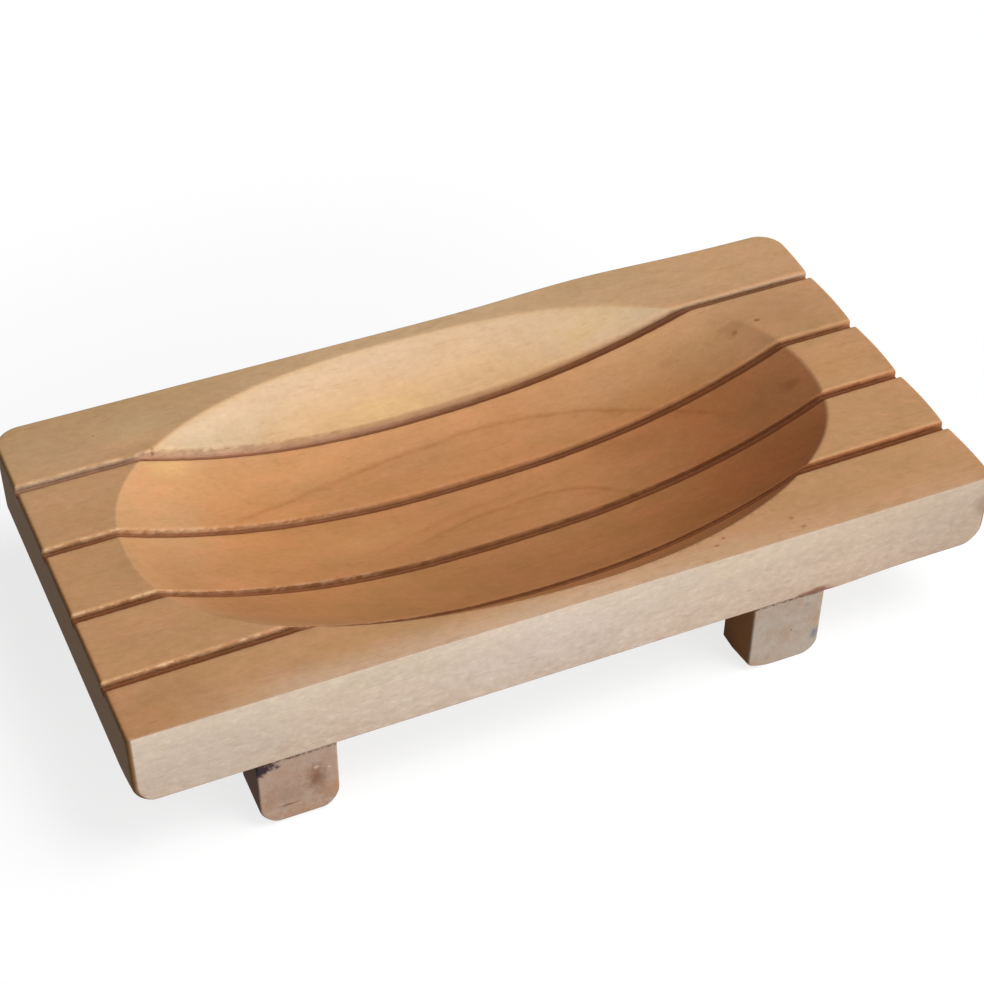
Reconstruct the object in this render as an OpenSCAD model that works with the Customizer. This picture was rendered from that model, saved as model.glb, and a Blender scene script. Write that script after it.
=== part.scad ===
// Wooden soap dish: a solid board with an oval hollow and four drain grooves, on four block feet.
// The origin is on the surface the dish stands on, under the middle of the board. X runs along the
// board, Y towards the back, Z up.

/* [Tray board] */
// Length of the board, end to end
board_l = 132; // [116:1:160]
// Width of the board, front to back
board_w = 66.6; // [64:0.2:90]
// Thickness of the board
board_t = 12.8; // [12:0.2:20]
// Rounding of the two back corners, seen from above
back_corner_r = 5; // [2:0.5:9]
// Rounding of the two front corners, seen from above
front_corner_r = 0.8; // [0.6:0.2:4]
// Rounding of the lower edge along both ends
end_under_r = 3.4; // [1:0.2:5]
// Easing of the upper edge along both ends
end_top_r = 0.6; // [0.4:0.1:2]
// Easing of the four long edges
long_edge_r = 0.4; // [0.3:0.1:1.5]

/* [Hollow] */
// Length of the hollow's rim
hollow_l = 108; // [80:1:110]
// Width of the hollow's rim
hollow_w = 58.8; // [44:0.4:60]
// Depth of the hollow below the board's top
hollow_depth = 10.2; // [5:0.2:10.6]
// Radius of the hollow's floor, measured across the board
floor_r = 87; // [70:1:140]
// Radius of the hollow's side walls, measured across the board
wall_r = 22; // [20:1:26]
// Middle of the hollow, to the right of the board's middle
hollow_x = -0.7; // [-2:0.1:2]
// Middle of the hollow, behind the board's middle
hollow_y = 0; // [-1:0.1:1]
// Turn of the hollow on the board, in degrees
hollow_turn = -1.3; // [-3:0.1:3]

/* [Drain grooves] */
// Width of each groove
groove_w = 1.7; // [1:0.1:3]
// Depth of each groove below the surface it runs over
groove_d = 1.1; // [0.5:0.1:1.6]
// Skew of the grooves against the board's long edges, in degrees
groove_skew = 0.8; // [-1.5:0.1:1.5]

/* [Feet] */
// Width of each foot, along the board
foot_w = 11.6; // [8:0.2:16]
// Length of each foot, in from the board's long edge
foot_l = 8; // [7:0.5:16]
// Height of each foot
foot_h = 13; // [8:0.5:15]
// Rounding of the two lower edges that run in from the board's long edge
foot_side_r = 3.4; // [1:0.2:3.8]
// Easing of the lower edges across a foot's two ends
foot_end_r = 1; // [0.4:0.2:3]
// Board's left end to the middle of the left feet
left_foot_inset = 24.1; // [12:0.1:34]
// Board's right end to the middle of the right feet
right_foot_inset = 32.3; // [12:0.1:34]

/* [Foot nails] */
// Diameter of the shank
nail_d = 1.6; // [1:0.1:2.4]
// Length of a nail, head and point included
nail_l = 18; // [16:0.5:22]
// Diameter of the flat head
nail_head_d = 3.4; // [2.8:0.1:4.4]
// Thickness of the flat head
nail_head_t = 0.7; // [0.4:0.1:1.2]
// Length of the point
nail_point_l = 2; // [1:0.5:3]
// Depth of the head below the foot's underside
nail_sink = 1.2; // [0.6:0.2:2]
// Gap round the head in its counterbore
nail_head_gap = 0.15; // [0.05:0.05:0.3]

/* [Hidden] */
$fn = 96;
// Finer steps for the large arcs of the hollow
hollow_fn = 360;

// Places of the grooves behind the board's middle, as shares of its width
groove_shares = [0.287, 0.076, -0.13, -0.33];

tray_colour = [0.76, 0.58, 0.41];
foot_colour = [0.64, 0.54, 0.44];
nail_colour = [0.62, 0.62, 0.6];

// How far a cutting solid runs past the surface it opens
cut_over = 5;

board_top = foot_h + board_t;
half_l = board_l / 2;
half_w = board_w / 2;

// The hollow is turned about an axis that lies this high over the board's top, across the board
turning_h = (pow(hollow_l / 2, 2) - pow(hollow_depth, 2)) / (2 * hollow_depth);
// Slope at which the floor's arc passes into a side wall's arc, and the middle of that wall's arc
rim_reach = norm([hollow_w / 2, floor_r - hollow_depth]);
arc_gap = floor_r - wall_r;
wall_turn = atan2(hollow_w / 2, floor_r - hollow_depth)
    - acos((pow(rim_reach, 2) + pow(arc_gap, 2) - pow(wall_r, 2)) / (2 * rim_reach * arc_gap));
wall_mid_y = arc_gap * sin(wall_turn);
wall_mid_r = turning_h + hollow_depth - floor_r + arc_gap * cos(wall_turn);

left_foot_x = left_foot_inset - half_l;
right_foot_x = half_l - right_foot_inset;
foot_mid_y = half_w - foot_l / 2;
foot_places = [[left_foot_x, -1], [right_foot_x, -1], [left_foot_x, 1], [right_foot_x, 1]];

// Box outline with its own rounding at each corner, named as seen with the second axis upwards
module eased_outline(low, high, r_low_left, r_low_right, r_high_right, r_high_left) {
    corners = [
        [low[0] + r_low_left, low[1] + r_low_left, r_low_left],
        [high[0] - r_low_right, low[1] + r_low_right, r_low_right],
        [high[0] - r_high_right, high[1] - r_high_right, r_high_right],
        [low[0] + r_high_left, high[1] - r_high_left, r_high_left]
    ];
    polygon([
        [corners[0][0], low[1]], [corners[1][0], low[1]],
        [high[0], corners[1][1]], [high[0], corners[2][1]],
        [corners[2][0], high[1]], [corners[3][0], high[1]],
        [low[0], corners[3][1]], [low[0], corners[0][1]]
    ]);
    for (corner = corners) if (corner[2] > 0)
        translate([corner[0], corner[1]]) circle(corner[2]);
}

// Extrudes an outline drawn in X and Z along Y, over a width centred on the middle
module along_y(width) {
    rotate([90, 0, 0]) linear_extrude(width, center = true) children();
}

// Extrudes an outline drawn in Y and Z along X, over a length centred on the middle
module along_x(length) {
    rotate([90, 0, 90]) linear_extrude(length, center = true) children();
}

// Plain board with all its edges rounded, before it is carved
module board_blank() {
    intersection() {
        translate([0, 0, foot_h]) linear_extrude(board_t)
            eased_outline([-half_l, -half_w], [half_l, half_w],
                          front_corner_r, front_corner_r, back_corner_r, back_corner_r);
        along_y(board_w + cut_over)
            eased_outline([-half_l, foot_h], [half_l, board_top],
                          end_under_r, end_under_r, end_top_r, end_top_r);
        along_x(board_l + cut_over)
            eased_outline([-half_w, foot_h], [half_w, board_top],
                          long_edge_r, long_edge_r, long_edge_r, long_edge_r);
    }
}

// Half section of the turned solid that scoops the hollow: X is the distance from the turning axis
module hollow_section() {
    for (side = [-1, 1]) translate([wall_mid_r, side * wall_mid_y]) circle(wall_r, $fn = hollow_fn);
    translate([0, -wall_mid_y - wall_r]) square([wall_mid_r, 2 * (wall_mid_y + wall_r)]);
    intersection() {
        translate([turning_h + hollow_depth - floor_r, 0]) circle(floor_r, $fn = hollow_fn);
        polygon([
            [wall_mid_r, -wall_mid_y], [wall_mid_r, wall_mid_y],
            [wall_mid_r + 2 * wall_r * cos(wall_turn), wall_mid_y + 2 * wall_r * sin(wall_turn)],
            [wall_mid_r + 2 * wall_r * cos(wall_turn), -wall_mid_y - 2 * wall_r * sin(wall_turn)]
        ]);
    }
}

// Solid that scoops the hollow, lowered below its own place by an extra depth
module hollow_scoop(extra) {
    translate([hollow_x, hollow_y, board_top + turning_h - extra]) rotate([90, 0, hollow_turn])
        rotate_extrude($fn = hollow_fn) hollow_section();
}

// Upright slab of a groove's width along one groove's line, from one height to another
module groove_slab(share, low, high) {
    rotate([0, 0, groove_skew]) translate([0, share * board_w, (low + high) / 2])
        cube([board_l + 2 * cut_over, groove_w, high - low], center = true);
}

// One drain groove: straight over the flat top, and following the hollow's floor where it crosses
module drain_groove(share) {
    groove_slab(share, board_top - groove_d, board_top + cut_over);
    intersection() {
        groove_slab(share, foot_h, board_top);
        hollow_scoop(groove_d);
    }
}

// One nail, point up, with its head sunk into the foot from below
module nail() {
    translate([0, 0, nail_sink]) cylinder(h = nail_head_t, d = nail_head_d);
    translate([0, 0, nail_sink]) cylinder(h = nail_l - nail_point_l, d = nail_d);
    translate([0, 0, nail_sink + nail_l - nail_point_l]) cylinder(h = nail_point_l, d1 = nail_d, d2 = 0);
}

// Space that one nail takes in the wood, with the counterbore that its head is punched into
module nail_hole() {
    nail();
    translate([0, 0, -cut_over])
        cylinder(h = cut_over + nail_sink + nail_head_t, d = nail_head_d + 2 * nail_head_gap);
}

// Puts a copy at the middle of one foot, or of every foot
module at_foot(place) {
    translate([place[0], place[1] * foot_mid_y, 0]) children();
}

// One block foot, with its lower edges rounded and its nail's hole
module block_foot(place) {
    color(foot_colour) at_foot(place) difference() {
        intersection() {
            along_y(foot_l)
                eased_outline([-foot_w / 2, 0], [foot_w / 2, foot_h], foot_side_r, foot_side_r, 0, 0);
            along_x(foot_w)
                eased_outline([-foot_l / 2, 0], [foot_l / 2, foot_h], foot_end_r, foot_end_r, 0, 0);
        }
        nail_hole();
    }
}

module tray_board() {
    color(tray_colour) difference() {
        board_blank();
        hollow_scoop(0);
        for (share = groove_shares) drain_groove(share);
        for (place = foot_places) at_foot(place) nail_hole();
    }
}

module front_left_foot() { block_foot(foot_places[0]); }

module front_right_foot() { block_foot(foot_places[1]); }

module back_left_foot() { block_foot(foot_places[2]); }

module back_right_foot() { block_foot(foot_places[3]); }

module foot_nails() {
    color(nail_colour) for (place = foot_places) at_foot(place) nail();
}

tray_board();
front_left_foot();
front_right_foot();
back_left_foot();
back_right_foot();
foot_nails();
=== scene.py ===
# Carved wooden soap dish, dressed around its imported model: board with an oval hollow, feet, nails
import math
from functools import partialmethod

import bmesh
import bpy
import numpy as np
from mathutils import Euler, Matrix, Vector


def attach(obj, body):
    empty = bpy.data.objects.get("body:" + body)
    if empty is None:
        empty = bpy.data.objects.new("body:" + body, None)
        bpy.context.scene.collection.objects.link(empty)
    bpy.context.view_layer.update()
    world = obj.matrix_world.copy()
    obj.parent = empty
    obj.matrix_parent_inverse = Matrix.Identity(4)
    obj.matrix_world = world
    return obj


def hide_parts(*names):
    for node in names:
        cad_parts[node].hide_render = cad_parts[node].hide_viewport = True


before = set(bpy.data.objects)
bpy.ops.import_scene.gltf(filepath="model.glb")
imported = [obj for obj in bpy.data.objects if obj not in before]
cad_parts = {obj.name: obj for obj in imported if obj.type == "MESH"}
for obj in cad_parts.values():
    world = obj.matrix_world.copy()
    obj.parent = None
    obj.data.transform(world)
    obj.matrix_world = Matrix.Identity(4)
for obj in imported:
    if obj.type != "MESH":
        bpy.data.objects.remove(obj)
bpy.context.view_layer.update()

root = "root"
mm = 0.001
white = (1.0, 1.0, 1.0, 1.0)
socketKinds = {float: "NodeSocketFloat", tuple: "NodeSocketVector"}


# Node trees are written as sums: a Wire is one output of a node

def plug(tree, value, socket):
    if isinstance(value, Wire):
        tree.links.new(value.socket, socket)
    else:
        socket.default_value = value


def addNode(tree, kind, *values, **settings):   # the values go to its first inputs
    node = tree.nodes.new(kind)
    for name, setting in settings.items():
        setattr(node, name, setting)
    for socket, value in zip(node.inputs, values):
        plug(tree, value, socket)
    return node


def plugAll(tree, node, **values):   # each into the input of that name
    for name, value in values.items():
        plug(tree, value, node.inputs[name])


def firstOutput(tree, kind, *values, **settings):
    return Wire(tree, addNode(tree, kind, *values, **settings).outputs[0])


def outputsOf(tree, node):   # by name
    return {out.name: Wire(tree, out) for out in node.outputs if out.name}


class Wire:
    def __init__(self, tree, socket):
        self.tree = tree
        self.socket = socket

    def calc(self, operation, *others):
        return firstOutput(self.tree, "ShaderNodeMath", self, *others, operation=operation)

    __add__ = __radd__ = partialmethod(calc, "ADD")
    __sub__ = partialmethod(calc, "SUBTRACT")
    __mul__ = __rmul__ = partialmethod(calc, "MULTIPLY")
    __truediv__ = partialmethod(calc, "DIVIDE")
    __pow__ = partialmethod(calc, "POWER")
    max = partialmethod(calc, "MAXIMUM")
    min = partialmethod(calc, "MINIMUM")
    abs = partialmethod(calc, "ABSOLUTE")
    sqrt = partialmethod(calc, "SQRT")

    def __rsub__(self, other):
        return self * -1 + other

    def ramp(self, low, high, smooth=True):   # 0 below low, 1 above high
        curve = "SMOOTHSTEP" if smooth else "LINEAR"
        return firstOutput(self.tree, "ShaderNodeMapRange", self, low, high, interpolation_type=curve)

    def bell(self, middle, reach):   # 1 at the middle, near 0 at twice the reach
        share = (self - middle) / reach
        return (share * share * -1).calc("EXPONENT")


def split(tree, vector):
    return [Wire(tree, out) for out in addNode(tree, "ShaderNodeSeparateXYZ", vector).outputs]


def join(tree, x, y, z):
    return firstOutput(tree, "ShaderNodeCombineXYZ", x, y, z)


def vectorCalc(tree, operation, *values):
    return firstOutput(tree, "ShaderNodeVectorMath", *values, operation=operation)


def noise(tree, place, stretch, shift=(0, 0, 0), detail=2, roughness=0.5, seed=None):   # about -1 to 1
    node = addNode(tree, "ShaderNodeTexNoise", noise_dimensions="3D" if seed is None else "4D")
    if seed is not None:
        plugAll(tree, node, W=seed)
    vector = vectorCalc(tree, "MULTIPLY_ADD", place, stretch, shift)
    plugAll(tree, node, Vector=vector, Scale=1, Detail=detail, Roughness=roughness)
    return (Wire(tree, node.outputs[0]) - 0.5) * 2


def mixColour(tree, factor, a, b, blend="MIX"):
    node = addNode(tree, "ShaderNodeMix", factor, data_type="RGBA", blend_type=blend)
    plug(tree, a, node.inputs[6])
    plug(tree, b, node.inputs[7])
    return Wire(tree, node.outputs[2])


def groupTree(kind, name, inputs, outputs):   # each input's value, or its kind of socket, by its label
    tree = bpy.data.node_groups.new(name, kind)
    for label, value in inputs.items():
        socketType = socketKinds.get(type(value), value)
        socket = tree.interface.new_socket(label, in_out="INPUT", socket_type=socketType)
        if socketType != value:
            socket.default_value = value
    for label, socketType in outputs.items():
        tree.interface.new_socket(label, in_out="OUTPUT", socket_type=socketType)
    start = tree.nodes.new("NodeGroupInput")
    end = tree.nodes.new("NodeGroupOutput")
    return tree, outputsOf(tree, start), end


def useGroup(tree, group, **values):
    node = addNode(tree, "ShaderNodeGroup", node_tree=group)
    plugAll(tree, node, **values)
    return outputsOf(tree, node)


def linear(red, green, blue):   # screen colour 0-255 to a shader colour
    channels = []
    for level in (red, green, blue):
        share = level / 255
        channels.append(share / 12.92 if share <= 0.04045 else ((share + 0.055) / 1.055) ** 2.4)
    return (*channels, 1.0)


def inMillimetres(tree, vector):
    return vectorCalc(tree, "MULTIPLY", vector, (1 / mm,) * 3)


def objectPlace(tree):
    return outputsOf(tree, tree.nodes.new("ShaderNodeTexCoord"))["Object"]


def newMaterial(name, roughness, specular):
    material = bpy.data.materials.new(name)
    material.use_nodes = True
    shader = material.node_tree.nodes["Principled BSDF"]
    shader.inputs["Specular IOR Level"].default_value = specular
    shader.inputs["Roughness"].default_value = roughness
    return material, material.node_tree, shader


def addObject(name, data):
    thing = bpy.data.objects.new(name, data)
    bpy.context.scene.collection.objects.link(thing)
    return thing


def smoothed(mesh, sharpAngle):   # shaded smooth but for edges sharper than that, in degrees
    mesh.polygons.foreach_set("use_smooth", [True] * len(mesh.polygons))
    mesh.set_sharp_from_angle(angle=math.radians(sharpAngle))
    return mesh


def drawnIn(radius, height):   # how far a rounding draws the side in, at a height above its edge
    down = np.maximum(radius - height, 0)
    return radius - np.sqrt(radius ** 2 - down ** 2)


# Camera and light

cameraValues = {
    "place": (-94.33, -217.31, 236.3),   # mm, in the frame of the dish
    "azimuth": -23.668,
    "elevation": 42.678,
    "roll": 0.592,
    "lens": 79.11,
    "sensor": 36.0,
}

lightValues = {
    "skyStrength": 0.07,
    "low": {"azimuth": 40, "elevation": 14, "distance": 2.2, "size": (2.9, 0.7), "level": 1.32},
    "high": {"azimuth": 55, "elevation": 62, "distance": 2.2, "size": (1.2, 1.2), "level": 0.76},
}

floorValues = {
    "half": 3.0,
    "bounce": 0.4,   # how pale the floor is to light that it throws back on the dish
    "shadowShare": 0.24,   # how much of the floor's shading shows to the camera
    "white": 1.02,   # strength of its own light, where nothing shades it
    "fadeFrom": 0.07,   # reach of the shading round the dish, in metres
    "fadeTo": 0.17,
}


def directionTo(azimuth, elevation):   # azimuth 0 is the front, 90 the right-hand end
    a, e = math.radians(azimuth), math.radians(elevation)
    return Vector((math.sin(a) * math.cos(e), -math.cos(a) * math.cos(e), math.sin(e)))


def makeCamera(values):
    data = bpy.data.cameras.new("dishCamera")
    camera = addObject("dishCamera", data)
    data.lens = values["lens"]
    data.sensor_width = values["sensor"]
    data.clip_start = 0.01
    camera.location = Vector(values["place"]) * mm
    look = directionTo(values["azimuth"], values["elevation"])
    turn = (-look).to_track_quat("-Z", "Y")
    roll = Euler((0, 0, math.radians(values["roll"]))).to_quaternion()
    camera.rotation_mode = "QUATERNION"
    camera.rotation_quaternion = turn @ roll
    bpy.context.scene.camera = camera


def makeSoftLight(name, values):
    data = bpy.data.lights.new(name, "AREA")
    data.shape = "RECTANGLE"
    data.size, data.size_y = values["size"]
    # an area light of power P gives P / (pi * distance squared) facing it; pi is full white
    data.energy = values["level"] * math.pi ** 2 * values["distance"] ** 2
    light = addObject(name, data)
    towards = directionTo(values["azimuth"], values["elevation"])
    light.location = towards * values["distance"]
    light.rotation_mode = "QUATERNION"
    light.rotation_quaternion = towards.to_track_quat("Z", "Y")


def seenDirectly(tree):   # 1 for camera, glossy and transmission rays
    path = outputsOf(tree, tree.nodes.new("ShaderNodeLightPath"))
    return path["Is Camera Ray"].max(path["Is Glossy Ray"]).max(path["Is Transmission Ray"])


def makeWorld(strength):
    world = bpy.data.worlds.new("studio")
    bpy.context.scene.world = world
    world.use_nodes = True
    tree = world.node_tree
    level = seenDirectly(tree) * (1 - strength) + strength
    plugAll(tree, tree.nodes["Background"], Color=white, Strength=level)


def makeFloor(values):
    material, tree, shader = newMaterial("paleFloor", 1.0, 0.0)
    x, y, _ = split(tree, objectPlace(tree))
    far = (x * x + y * y).sqrt().ramp(values["fadeFrom"], values["fadeTo"])
    seen = seenDirectly(tree)
    shading = (1 - far) * values["shadowShare"]
    level = seen * (shading - values["bounce"]) + values["bounce"]
    plug(tree, join(tree, level, level, level), shader.inputs["Base Color"])
    plug(tree, white, shader.inputs["Emission Color"])
    plug(tree, seen * (values["white"] - shading), shader.inputs["Emission Strength"])
    half = values["half"]
    mesh = bpy.data.meshes.new("floor")
    corners = [(-half, -half, 0), (half, -half, 0), (half, half, 0), (-half, half, 0)]
    mesh.from_pydata(corners, [], [(0, 1, 2, 3)])
    mesh.materials.append(material)
    floor = addObject("floor", mesh)


bpy.context.scene.view_settings.view_transform = "Standard"
makeCamera(cameraValues)
makeSoftLight("lowLight", lightValues["low"])
makeSoftLight("highLight", lightValues["high"])
makeWorld(lightValues["skyStrength"])
makeFloor(floorValues)
print("camera, light and floor made")


# Shared wood effects. Each noise: stretch along x, y and z, shift, detail, roughness

grainNoises = {
    "Waver": ((0.04, 0.1, 0.1), (0, 0, 0), 2, 0.5),
    "Fibres": ((0.3, 2.6, 2.6), (0, 0, 0), 4, 0.62),
    "Clouds": ((0.07, 0.2, 0.2), (0, 0, 0), 3, 0.55),
    "Grit": ((1.1, 1.9, 1.9), (0, 0, 0), 3, 0.7),
    "Streaks": ((0.2, 1.5, 1.5), (0, 31, 0), 5, 0.72),
}


def woodGrainGroup():
    # Growth rings as bowed layers, fibres and pores as streaks that run along X, in millimetres
    tree, given, end = groupTree("ShaderNodeTree", "woodGrain", {
        "Vector": (0.0, 0.0, 0.0),
        "Ring Spacing": 2.7,
        "Ring Dip": 0.1,
        "Ring Bow": 0.0016,
        "Ring Start": 15.65,
        "Ring Waver": 0.35,
        "Ring Depth": 19.5,
        "Pore Reach": 0.3,
    }, dict.fromkeys(("Rings", "Fibres", "Pores", "Clouds", "Grit", "Streaks"), "NodeSocketFloat"))
    place = given["Vector"]
    x, y, z = split(tree, place)
    made = {name: noise(tree, place, *values) for name, values in grainNoises.items()}
    field = z + y * given["Ring Dip"] - x * x * given["Ring Bow"] + made.pop("Waver") * given["Ring Waver"]
    layer = (field - given["Ring Start"]) / given["Ring Spacing"]
    number = layer.calc("FLOOR")
    share = layer - number
    line = (1 - share.ramp(0, 0.3)).max(share.ramp(0.9, 1) * 0.9)
    strength = noise(tree, join(tree, x, number, y), (0.025, 1, 0.03), detail=1).ramp(-0.5, 0.6)
    sunk = field.ramp(given["Ring Depth"] - 2, given["Ring Depth"])
    made["Rings"] = line * (strength * 0.7 + 0.3) * (1.15 - sunk)
    cells = addNode(tree, "ShaderNodeTexVoronoi", vectorCalc(tree, "MULTIPLY", place, (0.3, 2.1, 2.1)))
    cells.inputs["Scale"].default_value = 1
    cell = outputsOf(tree, cells)
    level = split(tree, cell["Color"])[0]
    near = 1 - cell["Distance"].ramp(given["Pore Reach"] * 0.35, given["Pore Reach"])
    made["Pores"] = near * level.ramp(0.45, 0.9)
    plugAll(tree, end, **made)
    return tree


def spotGroup():
    # Soft-edged patch at a place, with a ragged outline
    tree, given, end = groupTree("ShaderNodeTree", "stainSpot", {
        "Vector": (0.0, 0.0, 0.0),
        "Centre": (0.0, 0.0, 0.0),
        "Reach": (1.0, 1.0, 1.0),
        "Softness": 0.5,
        "Ragged": 0.0,
    }, {"Mask": "NodeSocketFloat"})
    offset = vectorCalc(tree, "SUBTRACT", given["Vector"], given["Centre"])
    x, y, z = split(tree, vectorCalc(tree, "DIVIDE", offset, given["Reach"]))
    distance = (x * x + y * y + z * z).sqrt() + given["Ragged"]
    plugAll(tree, end, Mask=1 - distance.ramp(1 - given["Softness"], 1))
    return tree


woodGrain = woodGrainGroup()
stainSpot = spotGroup()


def attribute(tree, name):
    return outputsOf(tree, addNode(tree, "ShaderNodeAttribute", attribute_name=name))["Fac"]


def finishWith(tree, shader, colour, height, distance, strength):
    plug(tree, colour, shader.inputs["Base Color"])
    bump = tree.nodes.new("ShaderNodeBump")
    plugAll(tree, bump, Height=height, Distance=distance, Strength=strength)
    tree.links.new(bump.outputs[0], shader.inputs["Normal"])


class Coat:
    # A colour laid on in layers over one material. Each layer's colour is a name or a value
    def __init__(self, tree, colours, noises, turned=False):
        self.tree = tree
        self.colours = colours
        self.place = inMillimetres(tree, objectPlace(tree))
        x, y, z = self.axes = split(tree, self.place)
        along = join(tree, y, x, z) if turned else self.place   # grain along Y or X
        self.grain = useGroup(tree, woodGrain, Vector=along)
        self.noises = {name: noise(tree, self.place, *values) for name, values in noises.items()}
        self.colour = None

    def named(self, colour):
        return self.colours[colour] if isinstance(colour, str) else colour

    def mix(self, share, start, end):
        return mixColour(self.tree, share, self.named(start), self.named(end))

    def lay(self, share, colour):
        self.colour = self.mix(share, self.colour, colour)

    def tint(self, share, colour):   # multiplies by the colour where the share is 1
        self.colour = mixColour(self.tree, share, self.colour, self.named(colour), "MULTIPLY")

    def spot(self, centre, reach, softness=1, ragged=0):   # ragged: a noise on its outline
        return useGroup(self.tree, stainSpot, Vector=self.place, Centre=centre, Reach=reach,
                        Softness=softness, Ragged=ragged)["Mask"]


# Tray board

trayValues = {
    "length": 131.3,
    "front": -33.3,
    "back": 32.3,
    "bottom": 13.0,
    "top": 25.775,
    "frontCorner": 0.55,
    "backCorner": 3.9,
    "longEdge": 0.28,   # easing of the long edges
    "leftEdge": 0.55,   # easing of the upper edge of the left end
    "rightEdge": 0.35,
    "underEdge": 3.4,   # rounding of the lower edge of both ends, near the front
    "underEdgeInside": 1.3,   # and further in than the next value
    "underFront": 7.0,
    "underLong": 0.15,   # easing of the two lower long edges
    "underBand": 0.5,   # width of the underside's outermost faces
    "swell": (41.0, 3.8, 7.0, 0.5),   # where the lower front edge dips: place, reach each way, depth
    "swellHeight": 4.0,
    "leftSkew": -0.0262,
    "leftShift": 0.45,
    "rightSkew": -0.0135,
    "rightShift": -0.34,
    "slatBow": 0.28,   # how far a slat's end stands out in its middle
    "slatMiddle": 7.0,   # from the nearest groove
    "slatReach": 6.0,
    "backBow": 0.95,
    "backBowAt": 30.0,
    "backBowReach": 15.0,
    "columnStep": 0.42,
    "rowStep": 0.46,
    "frontRows": (0, 25, 45, 65, 90),   # degrees round the front corners
    "backRows": range(90, -1, -6),
    "sideRings": ((15, 0.2), (30, 0.45), (45, 0.7), (60, 0.9), (75, 1), (90, 1)),   # degrees, share of side
    "sideDrops": (2.9, 5.0, 7.2),   # rings of points down the sides
    "underRings": range(0, 91, 9),   # and round the lower edge, in degrees
    "rimBand": 0.55,   # half width of the finer mesh along the hollow's rim
}

hollowValues = {
    "Hollow Length": 108.1,
    "Hollow Width": 58.5,
    "Hollow Depth": 10.23,
    "Hollow X": -0.74,
    "Hollow Y": 0.19,
    "Hollow Turn": -1.29,
    "Rim Power": 2.29,
    "Fullness Along": 2.42,
    "Fullness Across": 3.49,
    "Deepest Shift": 0.12,
    "Lean Along": -0.017,
    "Lean Across": 0.057,
    "Rim Softness": 0.025,
    "Near Bulge": 1.15,   # how far the near rim stands out past its oval
    "Bulge Place": 8.0,
    "Bulge Reach": 31.0,
}

grooveValues = {
    "count": 4,
    "first": 19.11,
    "spacing": 14.22,
    "spacingChange": 0.18,
    "slope": 0.53,   # degrees
    "slopeChange": 0.17,
    "width": 1.66,
    "depth": 1.05,
    "wallLean": 0.06,
    "lip": 0.3,   # reach of the worn lips
    "farLipWear": 0.19,   # how deep they are worn
    "nearLipWear": 0.08,
    "besideRows": (0.55, 0.3, 0.16, 0.07, 0.0),   # rows of points beside a groove, the lip's among them
}

# Noises of the carving: stretch, shift, detail, roughness, and what is added to the seed
carveNoises = {
    "chips": ((0.5, 1, 0), (0, 0, 0), 4, 0.75, 0),
    "floor": ((0.8, 1, 0), (0, 0, 1), 3, 0.6, 3),
    "wander": ((0.12, 1, 0), (0, 0, 2), 3, 0.6, 11),
    "marks": ((0.09, 0.16, 0), (0, 0, 0), 2, 0.5, 7),
    "ragged": ((1.1, 0.8, 0), (0, 0, 4), 3, 0.6, 13),
}


def grooveLines(values):   # (place at the middle, rise per mm), from the back groove to the front one
    lines = []
    for i in range(values["count"]):
        middle = values["first"] - values["spacing"] * i + values["spacingChange"] * i * i
        slope = math.tan(math.radians(values["slope"] + values["slopeChange"] * i))
        lines.append((middle, slope))
    return lines


def trayRows(tray, groove, sides, radii):   # (place at the middle, rise per mm) of each row of points
    lines = grooveLines(groove)[::-1]
    half = groove["width"] / 2
    steps = [half + offset for offset in groove["besideRows"]]
    steps += [half - groove["wallLean"], half / 2]
    pattern = [-s for s in steps] + [0.0] + steps[::-1]
    rows = [(sides[-1] + radii[-1] * (1 - math.cos(math.radians(a))), 0.0) for a in tray["frontRows"]]
    for middle, slope in lines:
        rows += [(middle + offset, slope) for offset in pattern]
    rows += [(sides[1] - radii[1] * (1 - math.cos(math.radians(a))), 0.0) for a in tray["backRows"]]
    filled = [rows[0]]
    for (a, slopeA), (b, slopeB) in zip(rows, rows[1:]):
        count = max(1, round((b - a) / tray["rowStep"])) if b - a > tray["rowStep"] * 1.4 else 1
        for k in range(1, count + 1):
            share = k / count
            filled.append((a + (b - a) * share, slopeA + (slopeB - slopeA) * share))
    return filled


def outwards(edge, ends, sides, radii):   # direction at each point of the flat top's outline
    normal = np.zeros((len(edge), 2))
    for side in (-1, 1):
        for end in (-1, 1):
            centre = np.array([end * (ends[end] - radii[side]), sides[side] - side * radii[side]])
            away = edge[:, :2] - centre
            inCorner = (away[:, 0] * end > -1e-6) & (away[:, 1] * side > -1e-6)
            normal[inCorner] = away[inCorner]
    plain = (normal ** 2).sum(1) < 1e-9
    for end in (-1, 1):
        onEnd = np.abs(edge[:, 0] - end * ends[end]) < 1e-4
        normal[plain & onEnd, 0] = end
        plain &= ~onEnd
    normal[plain, 1] = np.sign(edge[plain, 1])
    return normal / np.linalg.norm(normal, axis=1, keepdims=True)


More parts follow.
